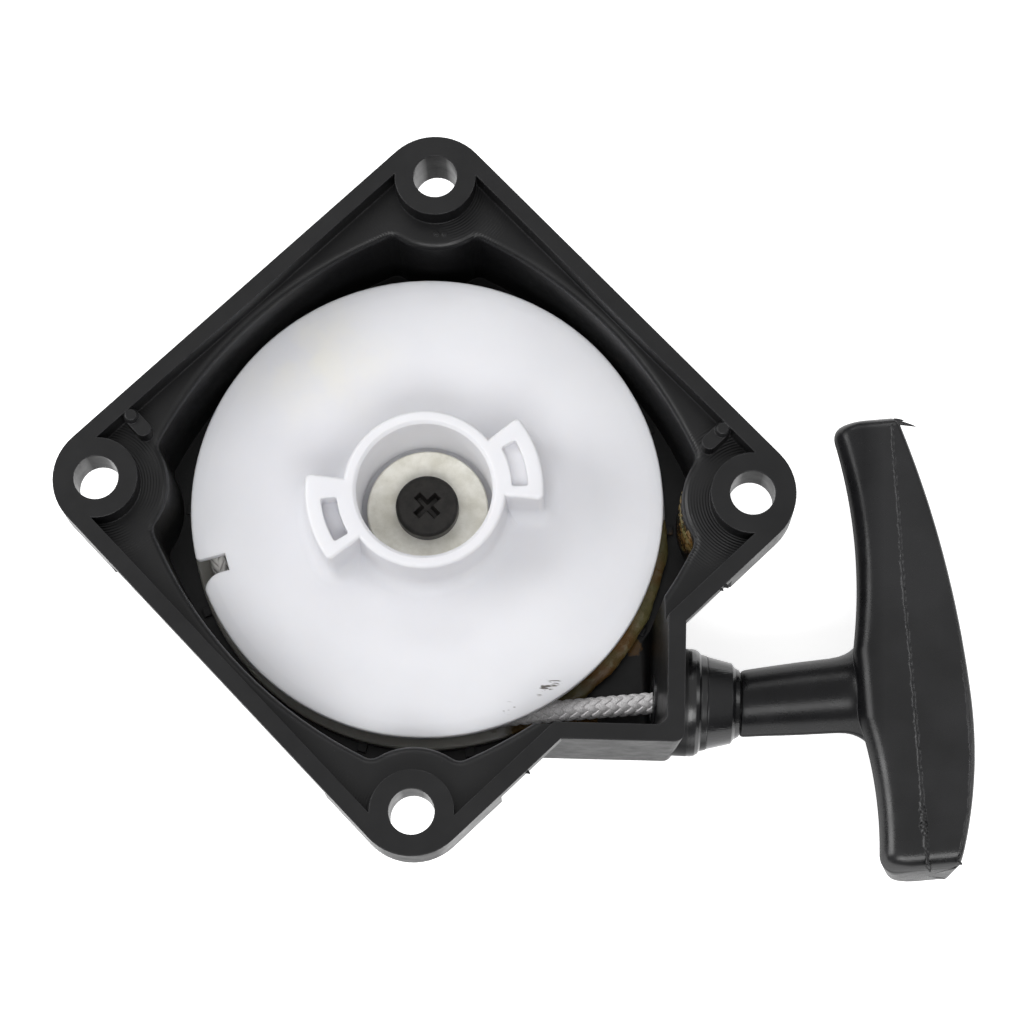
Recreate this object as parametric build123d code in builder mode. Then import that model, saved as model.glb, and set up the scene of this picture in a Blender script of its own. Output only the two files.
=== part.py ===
from build123d import *
import os
from math import cos, radians, sin, sqrt

# Recoil starter for a small two-stroke engine.
# Frame: the origin is the centre of the four mounting holes on the open rim, +Z points out of the
# open side along the reel's axis, and +X is the way the rope is pulled. Millimetres.

# ---------------------------------------------------------------- driving dimensions
hole_spacing = 68.0          # side of the square of mounting holes
hole_radius = 3.3
rim_side = 82.0              # side of the square rim, which stands on one corner
rim_corner_radius = 8.5
rim_wall = 2.45
ledge_depth = 3.8            # step inside the rim
floor_depth = 21.0           # floor of the reel's well
body_bottom = 23.3
back_depth = 28.4            # outer back face, which the starter rests on

reel_radius = 35.4
lower_flange_radius = 35.9
hub_top = -2.0
hub_radius = 12.0
hub_bore_radius = 10.04
reel_bottom = -25.4
rope_radius = 1.5
rope_level = -15.4           # height of the rope guide's axis
rope_exit_y = -28.35         # the rope guide's axis
sleeve_radius = 7.0          # bearing surface of the post
running_clearance = 0.05
handle_lean = 6.5            # degrees that the handle leans in its seat
handle_seat_x = 47.4

hole_circle_radius = hole_spacing / sqrt(2)
corner_angles = (0, 90, 180, 270)
side_angles = (45, 135, 225, 315)
post_top = -15.4
washer_thickness = 1.2
case_radius = 25.7
case_bottom = -26.2
case_sheet = 0.6
groove_core_radius = 25.0
groove_top = -12.7
groove_bottom = -18.1


def polar(radius, angle):
    """Point at a radius and an angle in degrees."""
    return (radius * cos(radians(angle)), radius * sin(radians(angle)))


def ring_sector(inner, outer, start, stop, centre=(0, 0)):
    """Face between two radii and two angles, drawn in the open sketch."""
    x, y = centre
    corners = []
    for radius, angle in ((outer, start), (outer, stop), (inner, stop), (inner, start)):
        px, py = polar(radius, angle)
        corners.append((x + px, y + py))
    with BuildLine() as border:
        CenterArc(centre, outer, start, stop - start)
        Line(corners[1], corners[2])
        CenterArc(centre, inner, start, stop - start)
        Line(corners[3], corners[0])
    make_face(border.edges())


def turned(plane, axis, points, mode=Mode.ADD):
    """Solid of revolution about an axis that lies in the plane, from points in that plane."""
    with BuildSketch(plane) as profile:
        with BuildLine():
            Polyline(*points, close=True)
        make_face()
    revolve(profile.sketch, axis=axis, mode=mode)


def revolved(points, mode=Mode.ADD):
    """Solid of revolution about Z from points given as (radius, height)."""
    turned(Plane.XZ, Axis.Z, points, mode)


def finish(builder, label):
    """Label a finished piece and write it."""
    builder.part.label = label
    export_step(builder.part, f"parts/{label}.step")


os.makedirs("parts", exist_ok=True)

# The rope guide's axis runs along X, and guide profiles are given as (x, radius).
guide_plane = Plane(origin=(0, rope_exit_y, rope_level), x_dir=(1, 0, 0), z_dir=(0, -1, 0))
guide_axis = Axis((0, rope_exit_y, rope_level), (1, 0, 0))


def revolved_about_guide(points, mode=Mode.ADD):
    """Solid of revolution about the rope guide's axis from points given as (x, radius)."""
    turned(guide_plane, guide_axis, points, mode)


# ---------------------------------------------------------------- housing
# A square cup with an ear at each corner. Its wall bows out between the ears, and a hollow
# behind each ear leaves room for a screw head or a nut.
rim_thickness = 2.4
shelf_bottom = 6.2           # underside of the ledge
ear_depths = {0: 6.7, 90: 9.2, 180: 6.7, 270: 6.7}
ear_pad_radius = 13.0
boss_radius = 6.1
well_bow_radius = 67.0
well_apex = 37.2             # distance of the bowed walls from the axis
well_corner_radius = 10.1    # the well's wall around each hole
well_edge_radius = 1.1
well_taper = 1.0
wall = 2.2
box_outer = (38.65, -37.05)  # outer corner of the rope box
box_inner = (36.1, -34.6)
dome_radius = 31.0
recess_radius = 26.2
post_radius = 5.6
insert_radius = 3.2
guide_fit_radius = 4.05      # bore of the collar, which holds the rope guide
floor_rib_count = 14
floor_rib_top = -20.3
pin_radius = 1.15
pin_places = ((43.6, 9.7), (-43.6, 9.7))
pin_web = 2.6                # length of the web that joins each pin to the well's edge


def well_outline(grow):
    """The well's outline moved outward: four bowed sides cut by an arc around each hole."""
    for side in side_angles:
        with Locations(polar(well_apex - well_bow_radius, side)):
            Circle(well_bow_radius + grow, mode=Mode.ADD if side == side_angles[0] else Mode.INTERSECT)
    with PolarLocations(hole_circle_radius, len(corner_angles)):
        Circle(well_corner_radius - grow, mode=Mode.SUBTRACT)


def outer_corner(builder):
    """The long upright edge that lies furthest towards +X and -Y."""
    upright = builder.edges().filter_by(lambda edge: edge.bounding_box().size.Z > 10)
    return upright.sort_by(Axis((0, 0, 0), (1, -1, 0)))[-1]


# The space inside the rope box, drafted so that the moulding leaves its tool.
with BuildPart() as box_space:
    with BuildSketch(Plane.XY):
        with Locations((4, box_inner[1])):
            Rectangle(box_inner[0] - 4, 30, align=(Align.MIN, Align.MIN))
    extrude(amount=-floor_depth, taper=6)
    fillet(outer_corner(box_space), radius=1.5)
    box_floor = box_space.faces().sort_by(Axis.Z)[0].edges()
    fillet([box_floor.sort_by(Axis.X)[-1], box_floor.sort_by(Axis.Y)[0]], radius=1.4)

with BuildPart() as housing:
    # rope box
    with BuildSketch(Plane.XY):
        with Locations((8, box_outer[1])):
            Rectangle(box_outer[0] - 8, 28, align=(Align.MIN, Align.MIN))
    extrude(amount=-body_bottom, taper=2.5)
    fillet(outer_corner(housing), radius=1.5)
    box_bottom = housing.faces().sort_by(Axis.Z)[0].edges()
    fillet([box_bottom.sort_by(Axis.X)[-1], box_bottom.sort_by(Axis.Y)[0]], radius=1.4)
    # rim, and the shelf that carries the ledge
    with BuildSketch(Plane.XY):
        RectangleRounded(rim_side, rim_side, rim_corner_radius, rotation=45)
    extrude(amount=-rim_thickness)
    with BuildSketch(Plane.XY.offset(-rim_thickness)):
        RectangleRounded(rim_side - 1.8, rim_side - 1.8, rim_corner_radius - 0.9, rotation=45)
    extrude(amount=-(shelf_bottom - rim_thickness))
    # ears
    for angle in corner_angles:
        with BuildSketch(Plane.XY):
            with Locations(polar(hole_circle_radius, angle)):
                Circle(ear_pad_radius)
            RectangleRounded(rim_side, rim_side, rim_corner_radius, rotation=45, mode=Mode.INTERSECT)
        extrude(amount=-ear_depths[angle])
    # wall of the well and the back
    with BuildSketch(Plane.XY.offset(-rim_thickness)):
        well_outline(wall)
    extrude(amount=-(body_bottom - rim_thickness), taper=well_taper)
    with BuildSketch(Plane.XY.offset(-body_bottom)):
        Circle(dome_radius)
    extrude(amount=-(back_depth - body_bottom), taper=8)
    fillet(housing.faces().sort_by(Axis.Z)[0].edges(), radius=2)
    # ledge inside the rim, around the bosses of the holes
    with BuildSketch(Plane.XY):
        RectangleRounded(rim_side - 2 * rim_wall, rim_side - 2 * rim_wall, boss_radius, rotation=45)
        with PolarLocations(hole_circle_radius, len(corner_angles)):
            Circle(boss_radius, mode=Mode.SUBTRACT)
    extrude(amount=-ledge_depth, mode=Mode.SUBTRACT)
    # well
    with BuildSketch(Plane.XY.offset(-ledge_depth)):
        well_outline(0)
        fillet(vertices(), radius=2)
    extrude(amount=-(floor_depth - ledge_depth), taper=well_taper, mode=Mode.SUBTRACT)
    ledge_edges = housing.edges().filter_by_position(Axis.Z, -ledge_depth - 0.01, -ledge_depth + 0.01)
    well_edges = []
    for edge in ledge_edges.filter_by(GeomType.CIRCLE):
        if edge.radius < 2.5 or edge.radius > boss_radius + 1:
            well_edges.append(edge)
    fillet(well_edges, radius=well_edge_radius)
    add(box_space.part, mode=Mode.SUBTRACT)
    # collar that holds the rope guide
    revolved_about_guide([
        (35.8, 0), (35.8, 7.9), (40.0, 8.0), (40.6, 7.9), (41.1, 7.6), (41.4, 7.2), (42.3, 7.0), (42.3, 0),
    ])
    revolved_about_guide([(30, 0), (30, guide_fit_radius), (44, guide_fit_radius), (44, 0)], mode=Mode.SUBTRACT)
    # recess for the spring, and the post
    with BuildSketch(Plane.XY.offset(-floor_depth)):
        Circle(recess_radius)
        Circle(post_radius, mode=Mode.SUBTRACT)
    extrude(amount=case_bottom + floor_depth, mode=Mode.SUBTRACT)
    with BuildSketch(Plane.XY.offset(case_bottom)):
        Circle(post_radius)
    extrude(amount=post_top - case_bottom)
    with BuildSketch(Plane.XY.offset(post_top)):
        Circle(insert_radius + 0.02)
    extrude(amount=-11.2, mode=Mode.SUBTRACT)
    # ribs on the well's floor
    with BuildSketch(Plane.XY.offset(-floor_depth)):
        with PolarLocations(32.1, floor_rib_count, start_angle=-104):
            Rectangle(10.2, 1.4)
    extrude(amount=floor_depth + floor_rib_top)
    # mounting holes, and two locating pins against the rim
    with BuildSketch(Plane.XY):
        with PolarLocations(hole_circle_radius, len(corner_angles)):
            Circle(hole_radius)
    extrude(amount=-12, mode=Mode.SUBTRACT)
    with BuildSketch(Plane.XY.offset(-ledge_depth - 0.5)):
        with Locations(*pin_places):
            Circle(pin_radius)
    extrude(amount=ledge_depth)
    with BuildSketch(Plane.XY.offset(-0.5)):
        with Locations(*pin_places):
            Circle(pin_radius)
    extrude(amount=0.4, taper=40)
    with BuildSketch(Plane.XY.offset(-ledge_depth - 0.5)):
        for x, y in pin_places:
            inward = -1 if x > 0 else 1
            middle = pin_web / 2 * sqrt(0.5)
            with Locations(Location((x + inward * middle, y - middle), -45 * inward)):
                SlotCenterToCenter(pin_web, 2 * pin_radius)
    extrude(amount=ledge_depth - 0.4)
    with BuildSketch(Plane.XY.offset(-ledge_depth)):
        with Locations((0.3, 40.3), (1.5, 40.3)):
            Circle(0.35)
    extrude(amount=0.25)
finish(housing, "housing")

# ---------------------------------------------------------------- rope guide
# A flanged bush pushed into the collar. Both mouths flare so that the rope does not chafe.
guide_bore_radius = 2.3

with BuildPart() as rope_guide:
    revolved_about_guide([
        (34.3, 3.4), (34.5, 4.0), (42.35, 4.0), (42.35, 6.9), (46.0, 6.0), (46.5, 5.3), (47.1, 5.0),
        (47.25, 4.8), (47.25, 4.4), (46.2, 4.2), (46.2, 2.9), (45.6, guide_bore_radius),
        (35.6, guide_bore_radius), (34.6, 2.8),
    ])
finish(rope_guide, "rope_guide")

# ---------------------------------------------------------------- post
with BuildPart() as post_sleeve:
    with BuildSketch(Plane.XY.offset(case_bottom)):
        Circle(sleeve_radius)
        Circle(post_radius + 0.02, mode=Mode.SUBTRACT)
    extrude(amount=post_top - case_bottom)
    chamfer(post_sleeve.edges().filter_by(GeomType.CIRCLE).group_by(Axis.Z)[-1].sort_by(SortBy.RADIUS)[-1], 0.3)
finish(post_sleeve, "post_sleeve")

with BuildPart() as screw_insert:
    revolved([
        (2.5, post_top), (insert_radius, post_top), (insert_radius, post_top - 2.0),
        (insert_radius - 0.4, post_top - 2.4), (insert_radius - 0.4, post_top - 3.2),
        (insert_radius, post_top - 3.6), (insert_radius, post_top - 6.6),
        (insert_radius - 0.4, post_top - 7.0), (insert_radius - 0.4, post_top - 7.8),
        (insert_radius, post_top - 8.2), (insert_radius, post_top - 10.5), (2.5, post_top - 10.5),
    ])
finish(screw_insert, "screw_insert")

with BuildPart() as retaining_washer:
    with BuildSketch(Plane.XY.offset(post_top)):
        Circle(9.16)
        Circle(2.6, mode=Mode.SUBTRACT)
    extrude(amount=washer_thickness)
    chamfer(retaining_washer.edges().filter_by(GeomType.CIRCLE).group_by(Axis.Z)[-1].sort_by(SortBy.RADIUS)[-1], 0.2)
finish(retaining_washer, "retaining_washer")

head_bottom = post_top + washer_thickness
head_height = 2.5

with BuildPart() as reel_screw:
    with BuildSketch(Plane.XY.offset(head_bottom)):
        Circle(4.74)
    extrude(amount=head_height)
    fillet(reel_screw.edges().group_by(Axis.Z)[-1], radius=0.7)
    with BuildSketch(Plane.XY.offset(head_bottom)):
        Circle(2.45)
    extrude(amount=-10.6)
    chamfer(reel_screw.edges().group_by(Axis.Z)[0], 0.5)
    with BuildSketch(Plane.XY.offset(head_bottom + head_height)):
        with Locations(Location((0, 0), 45), Location((0, 0), 135)):
            Rectangle(4.5, 1.28)
    extrude(amount=-1.5, taper=12, mode=Mode.SUBTRACT)
finish(reel_screw, "reel_screw")

# ---------------------------------------------------------------- reel
# One white moulding: hub with two drive lugs, two flanges with the rope groove between them,
# and a boss underneath that turns on the sleeve and takes the spring's inner hook.
lug_radius = 17.6
lugs = ((-4.0, 40.3), (173.5, 219.7))        # start and end angles
lug_pockets = ((3.0, 30.5, 1.2), (187.0, 213.0, 3.0))   # start angle, end angle and depth
web_fillet = 2.2             # where the hub and the lugs meet the web
notch_angle = 197.9
notch_width = 2.7
notch_floor = 31.0
notch_lips = (3.0, 0.8)      # rounding of the notch's two lips
cord_hole_angle = 90

with BuildPart() as reel:
    revolved([
        (sleeve_radius + running_clearance, -15.6), (hub_bore_radius, -15.6), (hub_bore_radius, hub_top - 0.5),
        (hub_bore_radius + 0.5, hub_top), (hub_radius, hub_top),
        (12.3, -11.6), (33.5, -11.0), (reel_radius - 0.1, -11.05), (reel_radius, -11.2),
        (reel_radius, -12.4), (groove_core_radius, groove_top), (groove_core_radius, groove_bottom),
        (35.6, -18.4), (lower_flange_radius, -18.7), (lower_flange_radius, -20.0), (23.0, -20.0),
        (23.0, -13.8), (12.4, -13.8), (12.4, -17.6), (9.6, -17.6), (9.6, reel_bottom),
        (sleeve_radius + running_clearance, reel_bottom),
    ])
    # drive lugs, each with a pocket
    with BuildSketch(Plane.XY.offset(hub_top)):
        for start, stop in lugs:
            ring_sector(11.5, lug_radius, start, stop)
        fillet(vertices().sort_by_distance((0, 0))[-4:], radius=0.8)
    extrude(amount=-9.7)
    lug_feet = reel.edges().filter_by(
        lambda edge: edge.bounding_box().min.Z > -11.8 and edge.bounding_box().max.Z < -11.3
        and edge.bounding_box().size.X < 26
    )
    fillet(lug_feet, radius=web_fillet)
    fillet(reel.faces().sort_by(Axis.Z)[-1].outer_wire().edges(), radius=0.5)
    for start, stop, depth in lug_pockets:
        with BuildSketch(Plane.XY.offset(hub_top)):
            ring_sector(12.9, 15.3, start, stop)
            fillet(vertices(), radius=0.4)
        extrude(amount=-depth, mode=Mode.SUBTRACT)
    # notch in the upper flange, where the rope can be held while the spring is wound up
    notch_plane = Plane(origin=(0, 0, -10.5), x_dir=(*polar(1, notch_angle), 0), z_dir=(0, 0, 1))
    with BuildSketch(notch_plane):
        with Locations((notch_floor, 0)):
            Rectangle(6, notch_width, align=(Align.MIN, Align.CENTER))
        for side, lip in zip((1, -1), notch_lips):
            with Locations((reel_radius - lip, side * (notch_width + lip) / 2)):
                Rectangle(lip + 1, lip, align=(Align.MIN, Align.CENTER))
        for side, lip in zip((1, -1), notch_lips):
            with Locations((reel_radius - lip, side * (notch_width / 2 + lip))):
                Circle(lip, mode=Mode.SUBTRACT)
    extrude(amount=-2.6, mode=Mode.SUBTRACT)
    # ribs under the web
    with BuildSketch(Plane.XY.offset(-17.0)):
        with PolarLocations(17.6, 6):
            Rectangle(11.2, 1.2)
    extrude(amount=3.6)
    # hole for the cord's inner end, and the slot for the spring's inner hook
    with BuildSketch(Plane.XZ.offset(-22)):
        with Locations((0, -16.5)):
            Circle(rope_radius + 0.15)
    extrude(amount=-4, mode=Mode.SUBTRACT)
    with BuildSketch(Plane.XY.offset(reel_bottom)):
        with Locations((8.9, 0)):
            Rectangle(1.8, 0.9)
    extrude(amount=4.9, mode=Mode.SUBTRACT)
finish(reel, "reel")

# ---------------------------------------------------------------- recoil spring
# Half circles about two centres in turn make the coil, so each turn lies one pitch further out.
spring_strip = 0.5
spring_pitch = 1.8
spring_turns = 8
spring_inner = 10.15
spring_bottom = -25.3
spring_height = 4.0

with BuildPart() as recoil_spring:
    with BuildSketch(Plane.XY.offset(spring_bottom)):
        for half_turn in range(2 * spring_turns):
            radius = spring_inner + half_turn * spring_pitch / 2
            if half_turn % 2 == 0:
                ring_sector(radius - spring_strip / 2, radius + spring_strip / 2, 0, 180)
            else:
                ring_sector(radius - spring_strip / 2, radius + spring_strip / 2, 180, 360,
                            centre=(spring_pitch / 2, 0))
        with Locations((spring_inner - 0.7, 0)):
            Rectangle(1.9, spring_strip)
        with Locations((spring_inner + spring_turns * spring_pitch + 0.5, 0)):
            Rectangle(1.4, spring_strip)
    extrude(amount=spring_height)
finish(recoil_spring, "recoil_spring")

with BuildPart() as spring_case:
    with BuildSketch(Plane.XY.offset(case_bottom)):
        Circle(case_radius)
        Circle(8.5, mode=Mode.SUBTRACT)
    extrude(amount=5.6)
    with BuildSketch(Plane.XY.offset(case_bottom + case_sheet)):
        Circle(case_radius - case_sheet)
    extrude(amount=6, mode=Mode.SUBTRACT)
    with BuildSketch(Plane.XY.offset(spring_bottom - 0.1)):
        with Locations((case_radius - 0.3, 0)):
            Rectangle(2.0, spring_strip + 0.3)
    extrude(amount=6, mode=Mode.SUBTRACT)
finish(spring_case, "spring_case")

with BuildPart() as spring_cover:
    with BuildSketch(Plane.XY.offset(-21.0)):
        Circle(case_radius - case_sheet - 0.1)
        Circle(12, mode=Mode.SUBTRACT)
        with Locations((case_radius, 0)):
            Rectangle(3.4, 1.6, mode=Mode.SUBTRACT)
    extrude(amount=0.4)
finish(spring_cover, "spring_cover")

# ---------------------------------------------------------------- cord
# Wound turns lie in two rows in the groove. The outermost turn stops where the rope leaves.
run_start_angle = -83.2
inner_turns = ((26.55, -16.5), (28.4, -14.3), (30.25, -16.5))
outer_turn = (32.2, -14.3)
outer_turn_span = 250

with BuildPart() as rope_winding:
    with BuildSketch(Plane.XZ):
        with Locations(*inner_turns):
            Circle(rope_radius)
    revolve(axis=Axis.Z)
    with BuildSketch(Plane(origin=(0, 0, 0), x_dir=(*polar(1, run_start_angle - 0.3), 0),
                           z_dir=(*polar(1, run_start_angle - 0.3 - 90), 0))):
        with Locations(outer_turn):
            Circle(rope_radius)
    revolve(axis=Axis.Z, revolution_arc=-outer_turn_span)
finish(rope_winding, "rope_winding")

with BuildPart() as reel_knot:
    with BuildSketch(Plane.XZ.offset(-groove_core_radius)):
        with Locations((0, -16.5)):
            Circle(rope_radius)
    extrude(amount=4.5)
    with Locations((0, 20.4, -16.85)):
        Sphere(2.9)
finish(reel_knot, "reel_knot")

run_start = (*polar(32.42, run_start_angle), -14.3)
run_bend_radius = 25.0

with BuildPart() as rope_run:
    with BuildLine() as run_path:
        FilletPolyline(run_start, (36.2, rope_exit_y - 0.03, rope_level + 0.02), (47.35, rope_exit_y, rope_level),
                       radius=run_bend_radius)
    with BuildSketch(Plane(origin=run_start, z_dir=run_path.wires()[0] % 0)):
        Circle(rope_radius)
    sweep(path=run_path.wires()[0])
finish(rope_run, "rope_run")

# ---------------------------------------------------------------- handle
# Handle coordinates: u runs outward along the stem, w along the grip, and z stays up.
lean = radians(handle_lean)
handle_origin = (handle_seat_x, rope_exit_y, rope_level)
u_direction = (cos(lean), sin(lean), 0)
w_direction = (-sin(lean), cos(lean), 0)
handle_plane = Plane(origin=handle_origin, x_dir=u_direction, z_dir=(0, 0, 1))
stem_axis = Axis(handle_origin, u_direction)
finger_edge_radius = 3.0
palm_edge_radius = 1.2
stem_end_x = 47.5           # the stem's end face is parallel to the guide's mouth
cord_bore_radius = 1.9
knot_space_radius = 4.8


def handle_point(u, w):
    """Point on the handle's middle plane in the shared frame."""
    return (
        handle_origin[0] + u * u_direction[0] + w * w_direction[0],
        handle_origin[1] + u * u_direction[1] + w * w_direction[1],
        rope_level,
    )


def section_plane(w):
    """Plane across the grip, with x along u and y along z."""
    return Plane(origin=handle_point(0, w), x_dir=u_direction, z_dir=(sin(lean), -cos(lean), 0))


def arc_offset(distance, radius):
    """How far a circle falls back from its tangent at a distance along that tangent."""
    return radius - sqrt(radius * radius - distance * distance)


def finger_side(w):
    """The grip's side towards the engine: a hollow for the fingers on either side of the stem."""
    if w > 4:
        return 20.2 - arc_offset(w - 23.5, 80)
    if w < -4:
        return 19.0 - arc_offset(w + 17, 60)
    return 18.2


def palm_side(w):
    """The grip's outer side, fullest just below the stem."""
    if w > -3.5:
        return 33.0 - arc_offset(w + 3.5, 167)
    return 33.0 - arc_offset(w + 3.5, 67)


def revolved_about_stem(points, mode=Mode.ADD):
    """Solid of revolution about the stem's axis from points given as (u, radius)."""
    turned(section_plane(0), stem_axis, points, mode)


# Sections of the grip as (w, half thickness).
grip_sections = (
    (-27.75, 8.2), (-18, 8.5), (-6, 8.5), (6, 8.5), (18, 8.5), (30, 8.5), (40.0, 8.2),
)

with BuildPart() as grip_blank:
    for w, half_thickness in grip_sections:
        left = finger_side(w)
        right = palm_side(w)
        with BuildSketch(section_plane(w)):
            with Locations(((left + right) / 2, 0)):
                Rectangle(right - left, 2 * half_thickness)
            fillet(vertices().sort_by(Axis.X)[:2], radius=finger_edge_radius)
            fillet(vertices().sort_by(Axis.X)[-2:], radius=palm_edge_radius)
    loft()
    grip_ends = grip_blank.faces().sort_by(Axis(handle_origin, w_direction))
    fillet(grip_ends[0].edges() + grip_ends[-1].edges(), radius=1.1)


def cover_region(gap):
    """Region of the cover in the handle's middle plane, shrunk by a gap."""
    inner_depth = 1.4 - gap
    low = -20 + gap
    high = 26 - gap
    middle = -3.5
    with BuildLine() as border:
        ThreePointArc((palm_side(low) - inner_depth, low), (palm_side(middle) - inner_depth, middle),
                      (palm_side(high) - inner_depth, high))
        Line((palm_side(high) - inner_depth, high), (36, high))
        Line((36, high), (36, low))
        Line((36, low), (palm_side(low) - inner_depth, low))
    make_face(border.edges())


with BuildPart() as handle_grip:
    add(grip_blank.part)
    revolved_about_stem([
        (-0.8, 0), (-0.8, 4.7), (0.4, 4.8), (1.0, 4.95), (6, 5.25),
        (12, 5.5), (13.8, 5.55), (15.2, 5.75), (16.4, 6.1), (17.4, 6.6), (18.1, 7.0), (18.6, 7.1), (20.5, 7.1),
        (20.5, 0),
    ])
    with BuildSketch(Plane.XY.offset(rope_level)):
        with Locations((stem_end_x, rope_exit_y)):
            Rectangle(6, 12, align=(Align.MAX, Align.CENTER))
    extrude(amount=8, both=True, mode=Mode.SUBTRACT)
    revolved_about_stem([(-2, 0), (-2, cord_bore_radius), (24.6, cord_bore_radius), (24.6, 0)], mode=Mode.SUBTRACT)
    revolved_about_stem([(24.2, 0), (24.2, knot_space_radius), (36, knot_space_radius), (36, 0)],
                        mode=Mode.SUBTRACT)
    with BuildSketch(handle_plane):
        cover_region(0)
    extrude(amount=5, both=True, mode=Mode.SUBTRACT)
finish(handle_grip, "handle_grip")

with BuildPart() as handle_cover:
    add(grip_blank.part)
    with BuildSketch(handle_plane):
        cover_region(0.1)
    extrude(amount=4.9, both=True, mode=Mode.INTERSECT)
finish(handle_cover, "handle_cover")

with BuildPart() as handle_ferrule:
    revolved_about_stem([(24.2, 1.65), (24.2, 4.6), (25.2, 4.6), (25.2, 1.65)])
finish(handle_ferrule, "handle_ferrule")

with BuildPart() as rope_tail:
    revolved_about_stem([(0.3, 0), (0.3, rope_radius), (25.4, rope_radius), (25.4, 0)])
finish(rope_tail, "rope_tail")

with BuildPart() as handle_knot:
    revolved_about_stem([
        (25.4, 0), (25.4, 2.0), (25.9, 3.2), (26.8, 4.0), (27.6, 4.1), (28.2, 3.7), (28.7, 4.0), (29.4, 3.9),
        (30.2, 3.1), (30.8, 1.8), (31.0, 0),
    ])
finish(handle_knot, "handle_knot")

# ---------------------------------------------------------------- what was made
cord_length = (
    sum(2 * 3.14159265 * radius for radius, level in inner_turns)
    + outer_turn[0] * radians(outer_turn_span)
    + run_path.wires()[0].length
    + 25.1
)
print(f"rope run bends at {run_bend_radius} mm radius, turns at {[radius for radius, level in inner_turns]}")
print(f"cord drawn on the reel, in the run and in the handle: {cord_length:.0f} mm without the knots")
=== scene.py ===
import bpy
import bmesh
import numpy as np
from math import cos, pi, radians, sin
from mathutils import Matrix, Vector


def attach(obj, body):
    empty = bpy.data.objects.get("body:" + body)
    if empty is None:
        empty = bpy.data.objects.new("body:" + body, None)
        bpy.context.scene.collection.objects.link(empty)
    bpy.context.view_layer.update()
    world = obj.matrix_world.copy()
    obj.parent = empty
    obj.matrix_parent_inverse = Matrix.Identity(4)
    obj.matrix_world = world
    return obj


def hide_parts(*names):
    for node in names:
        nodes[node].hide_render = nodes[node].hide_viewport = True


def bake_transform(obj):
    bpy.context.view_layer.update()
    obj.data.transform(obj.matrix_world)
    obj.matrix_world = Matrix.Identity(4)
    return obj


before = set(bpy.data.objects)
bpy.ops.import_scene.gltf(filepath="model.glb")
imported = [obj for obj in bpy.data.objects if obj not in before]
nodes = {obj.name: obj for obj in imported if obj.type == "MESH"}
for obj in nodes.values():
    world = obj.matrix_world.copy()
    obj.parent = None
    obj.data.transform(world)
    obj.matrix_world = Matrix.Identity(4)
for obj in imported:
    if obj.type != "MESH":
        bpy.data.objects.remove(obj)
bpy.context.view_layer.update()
mm = 0.001
print("frame loaded:", len(nodes), "nodes")

# the camera, as its place in mm and the directions of its right, top and back
shot = {
    "place": (22.35, -112.02, 413.41),
    "right": (0.99948, 0.02843, -0.01505),
    "up": (-0.02369, 0.96699, 0.25372),
    "back": (0.02176, -0.25323, 0.96716),
    "lens": 103.1,
    "sensor": 36.0,
}
cameraData = bpy.data.cameras.new("starterCamera")
cameraData.lens = shot["lens"]
cameraData.sensor_width = shot["sensor"]
cameraData.clip_start = 0.01
camera = bpy.data.objects.new("starterCamera", cameraData)
bpy.context.scene.collection.objects.link(camera)
turn = Matrix((shot["right"], shot["up"], shot["back"])).transposed().to_4x4()
camera.matrix_world = Matrix.Translation(Vector(shot["place"]) * mm) @ turn
bpy.context.scene.camera = camera
bpy.context.scene.view_settings.view_transform = "Standard"

studio = {
    "sky": (0.2, 0.66),         # strength at the horizon and overhead
    "skyRise": (0.25, 0.9),     # heights between which it grows, as the upward part of a direction
    # name: direction from the object, distance, width, height in metres, power in watts
    "boxes": {
        "frontBox": ((0.05, -0.64, 0.77), 0.9, 0.7, 0.36, 4.2),
        "backBox": ((-0.1, 0.72, 0.62), 0.9, 0.7, 0.2, 1.3),
        "leftBox": ((-0.88, 0.1, 0.54), 0.8, 0.5, 0.4, 3.4),
        "rightBox": ((0.9, 0.1, 0.5), 0.9, 0.3, 0.4, 1.0),
    },
}
world = bpy.data.worlds.new("softRoom")
bpy.context.scene.world = world
world.use_nodes = True
skyTree = world.node_tree
skySplit = skyTree.nodes.new("ShaderNodeSeparateXYZ")
skyTree.links.new(skyTree.nodes.new("ShaderNodeTexCoord").outputs["Generated"], skySplit.inputs["Vector"])
skyRange = skyTree.nodes.new("ShaderNodeMapRange")
skyRange.interpolation_type = "SMOOTHSTEP"
for socketName, value in zip(("From Min", "From Max", "To Min", "To Max"), studio["skyRise"] + studio["sky"]):
    skyRange.inputs[socketName].default_value = value
skyTree.links.new(skySplit.outputs["Z"], skyRange.inputs["Value"])
skyTree.links.new(skyRange.outputs["Result"], skyTree.nodes["Background"].inputs["Strength"])
skyTree.nodes["Background"].inputs["Color"].default_value = (1, 1, 1, 1)
for name, (direction, distance, width, height, power) in studio["boxes"].items():
    lamp = bpy.data.lights.new(name, "AREA")
    lamp.shape = "RECTANGLE"
    lamp.size = width
    lamp.size_y = height
    lamp.energy = power
    lampObject = bpy.data.objects.new(name, lamp)
    bpy.context.scene.collection.objects.link(lampObject)
    towards = Vector(direction).normalized()
    aim = towards.to_track_quat("Z", "Y").to_matrix().to_4x4()
    lampObject.matrix_world = Matrix.Translation(towards * distance) @ aim
print("camera and lights set")


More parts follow.
